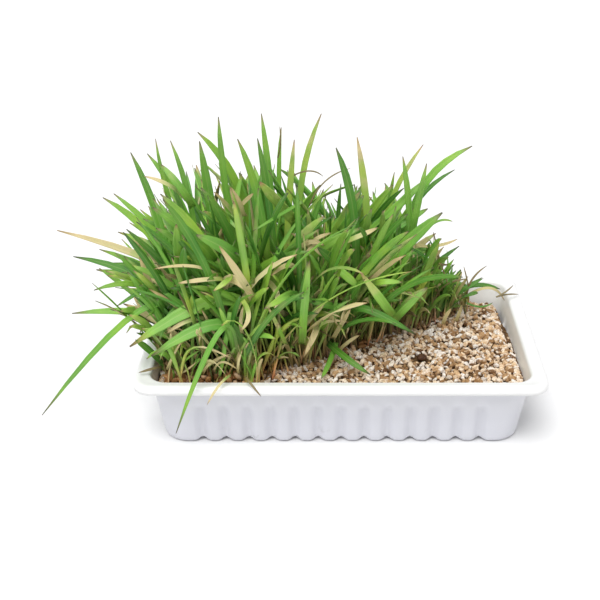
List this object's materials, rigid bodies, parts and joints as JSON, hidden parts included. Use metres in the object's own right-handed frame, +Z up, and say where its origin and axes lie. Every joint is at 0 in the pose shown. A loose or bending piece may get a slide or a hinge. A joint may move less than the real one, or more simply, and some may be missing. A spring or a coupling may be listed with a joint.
{
  "type": "wheatgrass tray",
  "caption": "Rectangular white plastic seedling tray with a wide rim and fluted walls, filled with granules and a dense clump of wheatgrass leaning out over one end.",
  "frame": {"origin": "centre of the tray's flat underside", "axes": "+Z up, +X along the tray's length towards its bare end, +Y towards the back"},
  "size_m": [0.307, 0.188, 0.188],
  "materials": {
    "white_plastic": "thin vacuum-formed white plastic, soft sheen",
    "granules": "loose expanded mineral granules, cream, gold and brown",
    "leaf": "fresh grass leaves with fine lengthwise veins, pale stems",
    "dry_leaf": "yellowed and dry grass leaves",
    "husk": "dark dull seed case"
  },
  "bodies": {
    "root": {"dry_clump_02": "dry_leaf", "dry_clump_08": "dry_leaf", "dry_clump_09": "dry_leaf", "dry_clump_12": "dry_leaf", "dry_clump_20": "dry_leaf", "granule_bed": "granules", "green_clump_00": "leaf", "green_clump_01": "leaf", "green_clump_03": "leaf", "green_clump_04": "leaf", "green_clump_05": "leaf", "green_clump_06": "leaf", "green_clump_07": "leaf", "green_clump_10": "leaf", "green_clump_11": "leaf", "green_clump_13": "leaf", "green_clump_14": "leaf", "green_clump_15": "leaf", "green_clump_16": "leaf", "green_clump_17": "leaf", "green_clump_18": "leaf", "green_clump_19": "leaf", "green_clump_21": "leaf", "green_clump_22": "leaf", "green_clump_23": "leaf", "green_clump_24": "leaf", "green_clump_25": "leaf", "green_clump_26": "leaf", "green_clump_27": "leaf", "green_clump_28": "leaf", "green_clump_29": "leaf", "green_clump_30": "leaf", "green_clump_31": "leaf", "green_clump_32": "leaf", "green_clump_33": "leaf", "green_clump_34": "leaf", "green_clump_35": "leaf", "green_clump_36": "leaf", "green_clump_37": "leaf", "green_clump_38": "leaf", "seed_husk": "husk", "tray": "white_plastic"}
  },
  "joints": []
}
